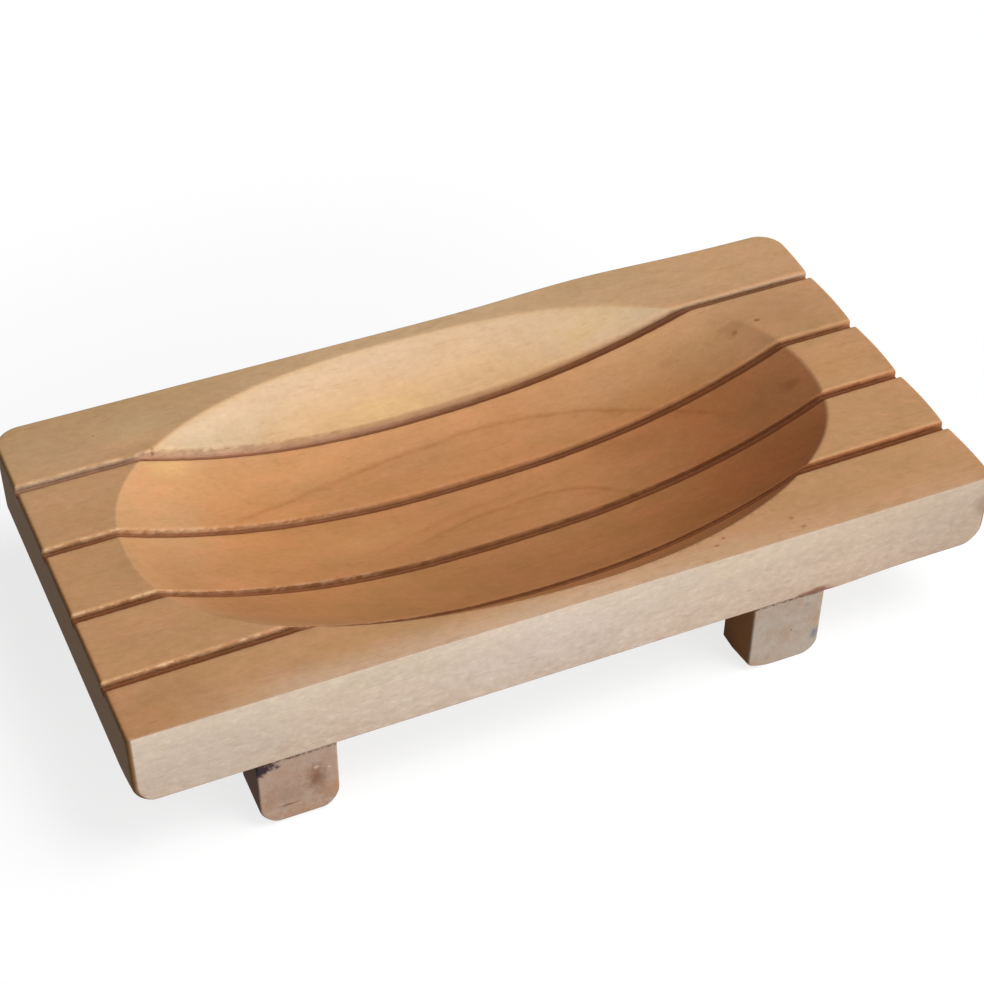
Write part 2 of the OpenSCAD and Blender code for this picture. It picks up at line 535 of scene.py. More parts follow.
def traySides(tray, edge, normal):   # rings of (points, how far they follow the top's cuts, share of side)
    endEdge = np.where(edge[:, 0] < 0, tray["leftEdge"], tray["rightEdge"])
    easing = tray["longEdge"] + (endEdge - tray["longEdge"]) * normal[:, 0] ** 2
    rings = []
    for angle, share in tray["sideRings"]:
        a = math.radians(angle)
        ring = np.column_stack([edge[:, :2] + normal * (easing * math.sin(a))[:, None],
                                tray["top"] - easing * (1 - math.cos(a))])
        rings.append((ring, 1.0, share))
    wall = rings[-1][0]
    past = np.clip((tray["front"] + tray["underFront"] - wall[:, 1]) / tray["underFront"], 0, 1)
    under = tray["underEdgeInside"] + (tray["underEdge"] - tray["underEdgeInside"]) * past ** 1.5
    place, before, after, dip = tray["swell"]
    reach = np.where(wall[:, 0] < place, before, after)
    swell = dip * np.exp(-((wall[:, 0] - place) / reach) ** 2)
    start = tray["length"] / 2 - 2 * tray["underEdge"]   # of the rounding, along the board
    heights = [tray["top"] - tray["bottom"] - drop for drop in tray["sideDrops"]]
    heights += [tray["underEdge"] * (1 - math.sin(math.radians(a))) for a in tray["underRings"]]
    for height in heights:
        ring = wall.copy()
        ring[:, 1] -= normal[:, 1] * np.abs(normal[:, 1]) * drawnIn(tray["underLong"], height)
        past = np.clip(np.abs(ring[:, 0]) - start, 0, None) / (tray["length"] / 2 - start)
        ring[:, 0] -= np.sign(ring[:, 0]) * past * drawnIn(under, height)
        down = swell * max(0.0, 1 - height / tray["swellHeight"]) * (ring[:, 1] < tray["front"] + 1)
        ring[:, 2] = tray["bottom"] + height - down
        rings.append((ring, 0.0, 1.0))
    inner = rings[-1][0].copy()
    inner[:, :2] -= normal * tray["underBand"]
    inner[:, 2] = tray["bottom"]
    return rings + [(inner, 0.0, 0.6)]


def trayBlank(tray, groove):   # the board before it is carved, with rows of points along each groove
    sides = {-1: tray["front"] + tray["longEdge"], 1: tray["back"] - tray["longEdge"]}
    ends = {-1: tray["length"] / 2 - tray["leftEdge"], 1: tray["length"] / 2 - tray["rightEdge"]}
    radii = {-1: tray["frontCorner"] - tray["longEdge"], 1: tray["backCorner"] - tray["longEdge"]}
    rows = np.array(trayRows(tray, groove, sides, radii))
    columns = round(tray["length"] / tray["columnStep"]) + 1
    share = np.linspace(0, 1, columns)
    x = share * (ends[1] + ends[-1]) - ends[-1]
    for _ in range(4):   # the rounded corners draw the ends of the slanting rows in
        y = np.clip(rows[:, :1] + rows[:, 1:] * x, sides[-1], sides[1])
        drawn = np.zeros_like(y)
        for side, radius in radii.items():
            drawn = np.maximum(drawn, drawnIn(radius, side * (sides[side] - y)))
        x = (1 - share) * (drawn - ends[-1]) + share * (ends[1] - drawn)
    top = np.stack([x, y, np.full_like(x, tray["top"])], -1).reshape(-1, 3)
    index = np.arange(len(top)).reshape(len(rows), columns)
    rim = np.concatenate([index[0, :-1], index[:-1, -1], index[-1, :0:-1], index[:0:-1, 0]])
    normal = outwards(top[rim], ends, sides, radii)
    rings = traySides(tray, top[rim], normal)

    quads = np.stack([index[:-1, :-1], index[:-1, 1:], index[1:, 1:], index[1:, :-1]], -1)
    faces = quads.reshape(-1, 4).tolist()
    loops = [rim] + [len(top) + k * len(rim) + np.arange(len(rim)) for k in range(len(rings))]
    for upper, lower in zip(loops, loops[1:]):
        faces += np.stack([upper, lower, np.roll(lower, -1), np.roll(upper, -1)], -1).tolist()
    faces.append(loops[-1][::-1].tolist())
    mesh = bpy.data.meshes.new("trayBoard")
    points = np.concatenate([top] + [ring for ring, _, _ in rings])
    mesh.from_pydata((points * mm).tolist(), [], faces)
    ofEnd = np.abs(normal[:, 0])
    for name, onTop, onRings in (("follow", 1.0, [ofEnd * 0 + follow for _, follow, _ in rings]),
                                 ("frontWood", 0.0, [side * (1 - ofEnd) for _, _, side in rings]),
                                 ("endWood", 0.0, [side * ofEnd for _, _, side in rings])):
        values = np.concatenate([np.full(len(top), onTop), *onRings])
        mesh.attributes.new(name, "FLOAT", "POINT").data.foreach_set("value", values)
    refineRim(mesh, tray)
    return mesh


def refineRim(mesh, tray):   # splits the faces that the hollow's rim runs through
    hollow = hollowValues
    turn, power = math.radians(hollow["Hollow Turn"]), hollow["Rim Power"]
    work = bmesh.new()
    work.from_mesh(mesh)
    near = set()
    for vert in work.verts:
        if vert.co.z < tray["top"] * mm - 1e-6:
            continue
        x, y = vert.co.x / mm - hollow["Hollow X"], vert.co.y / mm - hollow["Hollow Y"]
        u = (x * math.cos(turn) + y * math.sin(turn)) / (hollow["Hollow Length"] / 2)
        v = y * math.cos(turn) - x * math.sin(turn)
        fromBulge = (x - hollow["Bulge Place"]) / hollow["Bulge Reach"]
        bulge = hollow["Near Bulge"] * math.exp(-fromBulge ** 2) if v < -2 else 0.0
        v /= hollow["Hollow Width"] / 2 + bulge
        radius = (abs(u) ** power + abs(v) ** power) ** (1 / power)
        reach = math.hypot(x, y) / max(radius, 1e-6)   # distance of the rim in this direction
        if abs(radius - 1) * reach < tray["rimBand"]:
            near.add(vert)
    edges = [edge for edge in work.edges if edge.verts[0] in near and edge.verts[1] in near]
    bmesh.ops.subdivide_edges(work, edges=edges, cuts=2, use_grid_fill=True)
    work.to_mesh(mesh)
    work.free()


def carveTree(tray, groove):
    # Cuts the hollow and the grooves into the blank's top, and gives the board its hand-made lines
    tree, given, end = groupTree("GeometryNodeTree", "carveTray", {
        "Geometry": "NodeSocketGeometry",
        **hollowValues,
        "Groove Width": groove["width"],
        "Groove Depth": groove["depth"],
        "Groove Wander": 0.05,
        "Floor Roughness": 0.06,
        "Chip Depth": 0.07,
        "Tool Marks": 0.07,
        "Seed": 3.0,
        "Wood": "NodeSocketMaterial",
    }, {"Geometry": "NodeSocketGeometry"})
    place = inMillimetres(tree, firstOutput(tree, "GeometryNodeInputPosition"))
    x, y, _ = split(tree, place)

    # nearest groove's middle line, and the point's distance from it
    middle, *lines = (x * slope + centre for centre, slope in grooveLines(groove))
    away = (y - middle).abs()
    for line in lines:
        gap = (y - line).abs()
        middle = middle + (line - middle) * gap.calc("LESS_THAN", away)
        away = away.min(gap)
    made = {}
    for name, (*values, step) in carveNoises.items():
        at = place if name in ("marks", "ragged") else join(tree, x, middle, 0)
        made[name] = noise(tree, at, *values, given["Seed"] + step)
    halfGroove = given["Groove Width"] / 2
    inGroove = 1 - away.ramp(halfGroove - groove["wallLean"], halfGroove, smooth=False)
    alongY = y + (middle - y) * inGroove   # a groove's floor is level from side to side

    # the hollow's depth: 1 - r^p, with p fuller across than along and the deepest line shifted
    turn = given["Hollow Turn"].calc("RADIANS")
    cosine, sine = turn.calc("COSINE"), turn.calc("SINE")
    fromX, fromY = x - given["Hollow X"], alongY - given["Hollow Y"]
    u = (fromX * cosine + fromY * sine) / (given["Hollow Length"] / 2)
    across = fromY * cosine - fromX * sine
    bulge = x.bell(given["Bulge Place"], given["Bulge Reach"]) * given["Near Bulge"]
    v = across / (given["Hollow Width"] / 2 + bulge * (across * -1).ramp(2, 20))
    power = given["Rim Power"]
    inside = (1 - u.abs() ** power - v.abs() ** power).max(0)
    leanV = v + inside * (u * given["Lean Across"] + given["Deepest Shift"])
    leanU = u + inside * given["Lean Along"]
    partU, partV = leanU.abs() ** power, leanV.abs() ** power
    total = (partU + partV).max(1e-6)
    fullness = (partU * given["Fullness Along"] + partV * given["Fullness Across"]) / total
    hollow = (1 - total ** (fullness / power)) * given["Hollow Depth"]
    soft = given["Rim Softness"] * (1 + (u * 1.2 + v * 2.2 - 1.2).max(0) * 3)
    hollow = (hollow + (hollow * hollow + soft * soft * 4).sqrt()) / 2

    # worn lips, small chips and the marks of the gouge
    lip = (1 - away.ramp(halfGroove, halfGroove + groove["lip"], smooth=False)) * (1 - inGroove)
    farSide = (y - middle).ramp(0.2, 0.75)
    lipWear = groove["nearLipWear"] + farSide * (groove["farLipWear"] - groove["nearLipWear"])
    lipDrop = lip ** 1.7 * lipWear + lip * made["chips"].ramp(0.1, 0.75) * given["Chip Depth"]
    depthShare = (hollow / given["Hollow Depth"]).ramp(0, 0.2)
    marks = made["marks"] * given["Tool Marks"] * (depthShare * 0.7 + 0.3)
    grooveFloor = given["Groove Depth"] + made["floor"] * given["Floor Roughness"]
    follow = firstOutput(tree, "GeometryNodeInputNamedAttribute", "follow")
    cut = hollow + lipDrop + marks.max(-0.02) + inGroove * grooveFloor
    down = cut * follow * -1

    # out-of-square ends, the bowed back edge and the saw's wander
    leftShare, rightShare = ((x * (side * 2 / tray["length"])).max(0) ** 4 for side in (-1, 1))
    sideways = leftShare * (y * tray["leftSkew"] + tray["leftShift"])
    fromSlatMiddle = (away - tray["slatMiddle"]) / tray["slatReach"]
    slatEnd = (1 - fromSlatMiddle * fromSlatMiddle).max(-0.6) * tray["slatBow"]
    sideways = sideways + rightShare * (y * tray["rightSkew"] + tray["rightShift"] + slatEnd)
    bow = x.bell(tray["backBowAt"], tray["backBowReach"]) * tray["backBow"]
    backwards = bow * y.ramp(grooveLines(groove)[0][0] + 2.5, tray["back"])
    nearGroove = 1 - away.ramp(halfGroove, halfGroove + 1.2)
    wander = made["wander"] * 1.6 + made["ragged"] * (2.6 - x.ramp(-20, 40) * 1.4)
    backwards = backwards + nearGroove * given["Groove Wander"] * wander

    offset = vectorCalc(tree, "MULTIPLY", join(tree, sideways, backwards, down), (mm,) * 3)
    geometry = given["Geometry"]
    # the groove-dirt share holds dirt and painted shade, strongest on the grooves' floors towards their near
    # walls
    for name, value in (("grooveShare", inGroove), ("grooveDirt", inGroove * (1 - farSide * 0.8)),
                        ("grooveLip", lip * farSide)):
        geometry = firstOutput(tree, "GeometryNodeStoreNamedAttribute", geometry, True, name, value * follow)
    move = addNode(tree, "GeometryNodeSetPosition", geometry)
    plugAll(tree, move, Offset=offset)
    geometry = firstOutput(tree, "GeometryNodeRealizeInstances", Wire(tree, move.outputs[0]))
    geometry = firstOutput(tree, "GeometryNodeSetMaterial", geometry, True, given["Wood"])
    plugAll(tree, end, Geometry=geometry)
    return tree


def runTree(name, mesh, tree, values, sharpAngle):   # evaluates a geometry tree into a plain mesh object
    source = addObject(name + "Source", mesh)
    modifier = source.modifiers.new("shape", "NODES")
    modifier.node_group = tree
    for item in tree.interface.items_tree:
        if item.in_out == "INPUT" and item.name in values:
            modifier[item.identifier] = values[item.name]
    depsgraph = bpy.context.evaluated_depsgraph_get()
    made = bpy.data.meshes.new_from_object(source.evaluated_get(depsgraph))
    bpy.data.objects.remove(source)
    made.name = name
    return addObject(name, smoothed(made, sharpAngle))


trayColours = {
    "wood": linear(190, 143, 100),
    "olive": linear(183, 142, 98),
    "rosy": linear(195, 139, 103),
    "back": linear(196, 165, 127),
    "backShade": linear(174, 142, 102),
    "crease": linear(203, 169, 139),
    # pale and paleLow: painted light on the hollow's far wall, paler higher up
    "pale": linear(198, 170, 138),
    "paleLow": linear(196, 161, 119),
    "yellow": linear(206, 172, 112),
    "below": linear(196, 152, 110),   # painted light on the wood just below the back groove
    "hollow": (0.99, 0.845, 0.69, 1),   # what the wood inside the hollow multiplies deeper down: partly the deeper layers' own colour, partly painted shade
    "middle": (1.13, 1.12, 1.17, 1),   # painted light in its middle
    "hollowShade": (0.7, 0.48, 0.35, 1),   # painted shade on its right and near sides
    "ring": (0.74, 0.63, 0.53, 1),
    "pore": (0.62, 0.53, 0.46, 1),
    "streak": (0.83, 0.74, 0.68, 1),
    "rust": (0.6, 0.4, 0.32, 1),
    "groove": linear(140, 90, 57),
    "grooveLit": linear(190, 150, 126),
    "grooveEnd": linear(168, 122, 88),   # where they run out to the right-hand end
    # dirt and painted shade in the grooves
    "dirtAndShade": (0.52, 0.37, 0.28, 1),
    "lip": linear(222, 190, 154),   # chips on the grooves' far lips, and a painted highlight along them
    "lipShade": (0.74, 0.68, 0.65, 1),
    "front": linear(193, 174, 156),
    "frontPale": linear(208, 192, 168),
    "frontShade": linear(172, 147, 127),
    "edge": (0.72, 0.67, 0.65, 1),   # painted shade on the rounded edges between the top and the front, toning down their highlight
    "grime": (0.74, 0.7, 0.68, 1),
    "rot": linear(120, 70, 50),
    # the left end's end grain, darkened with painted shade
    "end": linear(105, 69, 10),
    "shadedEndRing": linear(79, 51, 10),
    "backFace": linear(192, 152, 114),
    "under": linear(186, 152, 120),
    "underShade": linear(158, 124, 94),
    "rightEnd": linear(152, 110, 74),
    "rightEndRing": linear(120, 82, 52),
}

trayNoises = {
    "blots": ((0.16, 0.3, 0.3), (40, 0, 0), 3, 0.6),
    "fine": ((0.6, 0.9, 0.9), (0, 20, 0), 3, 0.7),
    "warm": ((0.11, 0.2, 0.2), (60, 0, 0), 2, 0.6),
    "mottle": ((0.5, 0.8, 0.8), (0, 90, 0), 4, 0.65),
    "fleck": ((0.9, 1.3, 1.3), (0, 50, 0), 3, 0.7),
    "sawn": ((1.3, 0.05, 0), (0, 0, 5), 2, 0.5),   # saw marks across the underside
    "lineWaver": ((0.12, 0.2, 0), (0, 0, 3), 3, 0.6),
    "lineFade": ((0.16, 0.6, 0), (0, 0, 8), 3, 0.6),
}

# Heights, in mm, between which one kind of place on the board passes into the next
trayHeights = {
    "flat": (25, 25.7),
    "hollow": (25.5, 25.735),
    "litFarWall": (25.5, 25.72),
    "depth": (15.6, 25.7),
    "underside": (13.02, 13.2),
}

# soft patches on the top: centre, reach, what the wood multiplies there
topPatches = [
    ((-62, 16, 25.7), (20, 16, 4), (1, 1.06, 1.1)),
    ((-46, 25, 25.7), (10, 7, 1), (1.08, 1.13, 1.16)),
    ((-42, 15.5, 23.5), (10, 7, 5), (1.04, 1.08, 1.07)),
    ((-20, -1.5, 16.5), (16, 5, 6), (1.07, 1.13, 1.13)),
    ((-41, -14, 22.5), (12, 9, 6), (0.9, 0.82, 0.78)),
    ((25, 2.5, 16), (11, 4, 6), (0.93, 0.87, 0.87)),
    ((-63, -29, 25.7), (14, 10, 4), (0.92, 0.86, 0.85)),
    ((-46, -6, 25), (13, 14, 6), (0.9, 0.86, 0.84)),
    ((57, 12, 25.7), (15, 8, 4), (0.87, 0.88, 0.87)),
    ((57, -2, 25.7), (14, 7, 4), (1.06, 1.02, 1.01)),
    ((-46, 18.5, 24.5), (11, 6, 4), (0.97, 0.92, 0.89)),
    ((54, 28, 25.7), (18, 8, 4), (1.06, 1.04, 1.04)),
    ((-36, 21, 22), (20, 9, 6), (0.88, 0.94, 1)),
    ((-46, 5, 22.5), (9, 12, 6), (0.98, 1.08, 1.2)),
    ((28, 23, 23), (16, 6, 5), (1.04, 1.07, 1.14)),
]

# yellow patches on the hollow's far wall: centre, reach, share
yellowPatches = [((29, 24, 23), (12, 4, 6), 0.4), ((-8, 21, 20), (9, 3, 5), 0.3),
                 ((-43, 17.5, 24.5), (6, 3.5, 4), 0.4)]

# patches on the front face: place and reach along it, what the wood multiplies there
frontPatches = [(-56, 20, (0.95, 0.97, 1)), (-4, 30, (1, 1.03, 1.1)), (62, 18, (0.9, 0.92, 0.93))]

# dark specks and gouge ticks on the top: x, y, z, reach, share
trayMarks = [
    (-44.9, 19.7, 25.6, 0.5, 0.9), (-44.3, -21.7, 25.7, 0.4, 0.8), (-52.2, 25.8, 25.7, 0.5, 0.5),
    (51.5, 12.3, 25.7, 0.75, 0.9), (47.5, 11.9, 25, 0.8, 0.5), (23.5, -29.6, 25.7, 0.5, 0.8),
    (22, -30.6, 25.7, 0.6, 0.8), (34.4, -29.7, 25.7, 0.7, 0.6), (35.2, -31.8, 25.7, 0.6, 0.6),
    (49.4, -2, 24, 2.2, 0.4), (47, 12.9, 25, 2.6, 0.2), (36.5, 13, 21.5, 2.6, 0.2),
    (-45, 19.6, 25.6, 0.35, 1), (-12.9, -33.3, 21.2, 0.35, 0.9),
]

# growth lines across the hollow: peak x and y, fall to the left and right, ends, strength
growthCurves = [
    (6, 14.4, 0.0044, 0.0128, (-42, 44), 0.8), (7, 11.9, 0.005, 0.012, (-30, 12), 0.25),
    (8, -1.5, 0.0068, 0.034, (-17, 26), 0.75), (6, 0.4, 0.0075, 0.02, (-26, 14), 0.4),
    (4, -4.4, 0.006, 0.03, (-12, 14), 0.3),
]


def growthLines(coat):
    x, y, _ = coat.axes
    total = 0
    for peakX, peakY, fallLeft, fallRight, (start, stop), share in growthCurves:
        left, right = (x - peakX).min(0), (x - peakX).max(0)
        curve = y + left * left * fallLeft + right * right * fallRight - peakY
        above = curve + coat.noises["lineWaver"] * 0.8
        line = (1 - above.abs().ramp(0.05, 0.75)) * 0.65
        shade = (1 - (above * -1).ramp(0.3, 2.6)) * above.calc("LESS_THAN", 0) * 0.35
        ends = x.ramp(start, start + 9) * (1 - x.ramp(stop - 9, stop))
        total = ((line + shade) * ends * share).max(total)
    return total * (coat.noises["lineFade"].ramp(-0.6, 0.5) * 0.7 + 0.3)


def topWood(coat, onTop, inHollow):
    (x, y, z), grain, blots = coat.axes, coat.grain, coat.noises["blots"]
    coat.colour = coat.mix(grain["Clouds"].ramp(-0.5, 0.4) * 0.8, "olive", "wood")
    coat.lay(blots.ramp(-0.4, 0.8) * 0.6, "rosy")

    # inside the hollow: more colour deeper down, partly the deeper layers' own colour and partly painted
    # shade; painted light in its middle, painted shade on its right and near sides
    depth = 1 - z.ramp(*trayHeights["depth"], smooth=False)
    coat.tint((depth * 1.4 + 0.15).min(1) * inHollow, "hollow")
    # painted light: a lighter patch in the middle of the hollow
    coat.tint(coat.spot((14, 0, 16), (40, 20, 12)), "middle")
    # painted shade on the hollow's right and near sides
    hollowShade = x.ramp(8, 48) * (1 - y.ramp(3.5, 7.5) * 0.85) * 0.72
    hollowShade = hollowShade + (1 - y.ramp(-16, -4)) * 0.3 * x.ramp(-30, 8)
    coat.tint(hollowShade.min(1) * inHollow, "hollowShade")

    # painted light on the hollow's far wall behind the back groove, lighter higher up, and on the wall just
    # below that groove; paler wood on the strips along the back and the front
    backGroove, backSlope = grooveLines(grooveValues)[0]
    behind = y - x * backSlope - backGroove
    # painted light on the far wall behind the back groove, lighter towards the rim
    litFarWall = (1 - z.ramp(*trayHeights["litFarWall"])) * behind.ramp(-1, 0.6)
    coat.lay(litFarWall * 0.9, coat.mix(z.ramp(20, 25.2), "paleLow", "pale"))
    # painted light on the wall just below the back groove
    litBelowBackGroove = behind.ramp(-14, -3) * x.ramp(-52, -20) * (x.ramp(5, 30) * 0.35 + 0.25)
    coat.lay(litBelowBackGroove * inHollow * (1 - litFarWall), "below")
    backStrip = onTop * y.ramp(12, 27)
    coat.lay(backStrip * (1.15 - (x * 0.012).abs()).min(1) * 0.75, "back")
    coat.lay(backStrip * (1 - x.ramp(-46, -20)) * y.ramp(20, 26) * 0.4, "backShade")
    for centre, reach, by in topPatches:
        coat.tint(coat.spot(centre, reach, 1, blots * 0.25), (*by, 1))
    crease = onTop * (1 - y.ramp(-32.8, -28)) * (1 - x.ramp(-5, 45) * 0.7) * x.ramp(-60, -35)
    coat.lay(crease * 0.8, "crease")
    for centre, reach, share in yellowPatches:
        coat.lay(coat.spot(centre, reach, 0.9, blots * 0.4) * share, "yellow")

    # growth lines, streaks, pores, the rusty left edge and the specks
    coat.tint(growthLines(coat) * inHollow + grain["Rings"] * onTop * 0.25, "ring")
    coat.tint(grain["Streaks"].ramp(0.05, 0.65) * 0.8, "streak")
    coat.tint(grain["Pores"] * 0.22, "pore")
    leftEdge = 1 - (x - y * trayValues["leftSkew"]).ramp(-65.4, -64.4)
    coat.tint(leftEdge * onTop * grain["Grit"].ramp(-0.5, 0.3), "rust")
    for *centre, reach, share in trayMarks:
        speck = coat.spot(centre, (reach, reach * 0.6, 3), 0.7, coat.noises["fine"] * 0.6)
        coat.tint(speck * share, "rust")


def sideWood(coat, front):
    # the front and back faces, both ends and the underside
    (x, y, z), grain = coat.axes, coat.grain
    mottle, fleck, face = coat.noises["mottle"], coat.noises["fleck"], trayValues["front"]
    top = coat.colour
    shade = mottle.ramp(-0.5, 0.6) * 0.4 + x.ramp(-10, 66) * 0.4 + (1 - z.ramp(13, 19)) * 0.25
    coat.colour = coat.mix(shade.min(1), "front", "frontShade")
    upper = fleck.ramp(0, 0.7) * 0.5 + z.ramp(18, 25) * mottle.ramp(-0.5, 0.3) * 0.45
    coat.lay(upper * (1 - x.ramp(0, 66) * 0.5), "frontPale")
    for centreX, reach, by in frontPatches:
        coat.tint(coat.spot((centreX, face, 19), (reach, 80, 14), 1, mottle * 0.25), (*by, 1))
    coat.lay(y.ramp(0, 30) * 0.75, "backFace")
    coat.tint(coat.spot((65, face, 20.5), (2.4, 2.5, 3.2), 0.8, mottle * 0.7), "grime")
    coat.lay(coat.spot((38, face, 12.9), (4.4, 2.5, 1.1), 0.7, mottle * 0.6) * 0.85, "rot")
    coat.tint(grain["Pores"] * 0.25, "pore")
    coat.colour = coat.mix(front, top, coat.colour)
    # painted shade on the rounded edge between the top and the front, toning down its highlight
    coat.tint(front * (1 - front) * 4, "edge")
    onRight = x.ramp(-10, 10)
    ringed = grain["Rings"] * 0.5 + mottle.ramp(-0.2, 0.6) * 0.5
    # the left end's colours hold painted shade
    endWood = coat.mix(ringed, coat.mix(onRight, "end", "rightEnd"),
                       coat.mix(onRight, "shadedEndRing", "rightEndRing"))
    coat.lay(attribute(coat.tree, "endWood"), endWood)
    sawn = coat.noises["sawn"].ramp(-0.4, 0.5) * 0.5 + mottle.ramp(-0.4, 0.6) * 0.4
    below = (1 - z.ramp(*trayHeights["underside"])) * (1 - front.ramp(0.7, 0.95))
    coat.lay(below, coat.mix(sawn, "under", "underShade"))


def grooveWood(coat, onTop, inHollow):
    (x, y, _), fine = coat.axes, coat.noises["fine"]
    dirtAndShade, lip = (attribute(coat.tree, name) for name in ("grooveDirt", "grooveLip"))
    lit = (1 - x.ramp(-28, 26)) * y.ramp(2, 17) * (inHollow * 0.75 + 0.25)
    cut = coat.mix(x.ramp(40, 54) * onTop * 0.8, "groove", "grooveEnd")
    cut = coat.mix(lit * (1 - dirtAndShade * 0.6), cut, "grooveLit")
    level = fine * 0.5 + 1
    cut = mixColour(coat.tree, 1, cut, join(coat.tree, level, level, level), "MULTIPLY")
    coat.lay(attribute(coat.tree, "grooveShare") * 0.85, cut)
    # dirt and painted shade in the grooves
    coat.tint(dirtAndShade * (fine * 0.5 + 0.85).min(1), "dirtAndShade")
    coat.tint(lip * (1 - x.ramp(-10, 20) * inHollow * 0.4), "lipShade")
    # chips and a painted highlight along the grooves' far lips, stronger to the left
    chipsAndGlint = lip * coat.grain["Streaks"].ramp(-0.4, 0.3) * fine.ramp(-0.25, 0.25)
    worn = (1 - x.ramp(-40, -5)) * 0.6 + 0.1
    coat.lay(chipsAndGlint * worn * (1 - inHollow * 0.2), "lip")


def trayWood():
    material, tree, shader = newMaterial("trayWood", 0.62, 0.12)
    coat = Coat(tree, trayColours, trayNoises)
    (x, y, z), grain, noises = coat.axes, coat.grain, coat.noises
    onTop = z.ramp(*trayHeights["flat"])
    inHollow = 1 - z.ramp(*trayHeights["hollow"])
    front = attribute(tree, "frontWood")
    topWood(coat, onTop, inHollow)
    sideWood(coat, front)
    grooveWood(coat, onTop, inHollow)

    # darker wood is browner wood
    ray = noise(tree, join(tree, x * 1.2 + y * 0.4, y, z), (1, 0.25, 0.4), (0, 80, 0), 2, 0.6) * inHollow
    tone = grain["Fibres"] * 0.08 + grain["Clouds"] * 0.1 + grain["Grit"] * 0.07 + noises["blots"] * 0.08
    tone = tone + noises["fine"] * (0.15 - inHollow * 0.03) + noises["fleck"] * front * 0.08 + ray * 0.04
    browner = 1 - front * 0.8
    warm = noises["warm"] * (1 - front * 0.6)
    shades = join(tree, tone * (1 - browner * 0.18) + warm * 0.03 + 1, tone + 1,
                  tone * (browner * 0.4 + 1) - warm * 0.08 + 1)
    coat.tint(1, shades)
    height = grain["Fibres"] * 0.3 - grain["Pores"] * 0.7 + grain["Grit"] * 0.5
    finishWith(tree, shader, coat.colour, height, 0.03 * mm, 0.5)
    return material


def makeTray():
    tree = carveTree(trayValues, grooveValues)
    blank = trayBlank(trayValues, grooveValues)
    tray = runTree("trayBoard", blank, tree, {"Wood": trayWood()}, 42)
    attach(tray, root)
    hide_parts("tray_board")
    print("tray board carved:", len(tray.data.vertices), "points")


makeTray()


# Block feet

footValues = {
    "width": 11.6,
    "length": 8.0,
    "height": 13.0,
    # lower edges: reach across on the left and the right side, height on both, easing at the ends
    "rounding": {"left": ((4.3, 3.7), (4.3, 3.7), 1.0), "right": ((0.8, 0.6), (3.2, 2.6), 0.3)},
    # how much the lower front left corner is worn up, how far across and how far back
    "worn": {"left": (0.5, 4.0, 3.0), "right": (1.15, 4.6, 5.0)},
    "setBack": 0.06,   # of the front faces behind the board's front face
    "corner": 0.45,
    "topEase": 0.2,
    "x": {"left": -41.9, "right": 33.7},
    "y": 29.3,   # of the back feet's middles
    "boreRadius": 1.85,
    "boreDepth": 1.9,
    "boreEdge": 0.12,
    "arcSteps": 5,
    "runSteps": 22,
    "shaftStep": 0.8,   # between the rings of points above the rounding
    "wornHeight": 3.5,
}

footColours = {
    "wood": linear(165, 140, 122),
    "grey": linear(164, 149, 134),
    "shade": linear(140, 112, 94),
    "knot": linear(108, 70, 46),
    "amber": linear(156, 118, 90),
    "light": linear(206, 180, 160),
    "smudge": linear(50, 38, 44),
    "seam": linear(72, 44, 30),
    "blue": linear(112, 112, 118),
    "rust": linear(112, 66, 44),
    "side": linear(161, 110, 66),
    # painted shade on the left feet's left sides
    "shadedLeftSide": linear(88, 56, 30),
    "pore": (0.6, 0.54, 0.5, 1.0),
}


def roundedLoop(halfX, halfY, radius, arcSteps, runSteps):   # points of a rounded rectangle
    points = []
    for corner, (signX, signY) in enumerate(((1, 1), (-1, 1), (-1, -1), (1, -1))):
        for step in range(arcSteps + 1):
            angle = math.radians(90 * (corner + step / arcSteps))
            points.append((signX * (halfX - radius) + radius * math.cos(angle),
                           signY * (halfY - radius) + radius * math.sin(angle)))
    loop = []
    for k, point in enumerate(points):
        following = points[(k + 1) % len(points)]
        steps = runSteps if k % (arcSteps + 1) == arcSteps else 1
        loop += [tuple(p + (q - p) * step / steps for p, q in zip(point, following))
                 for step in range(steps)]
    return np.array(loop)


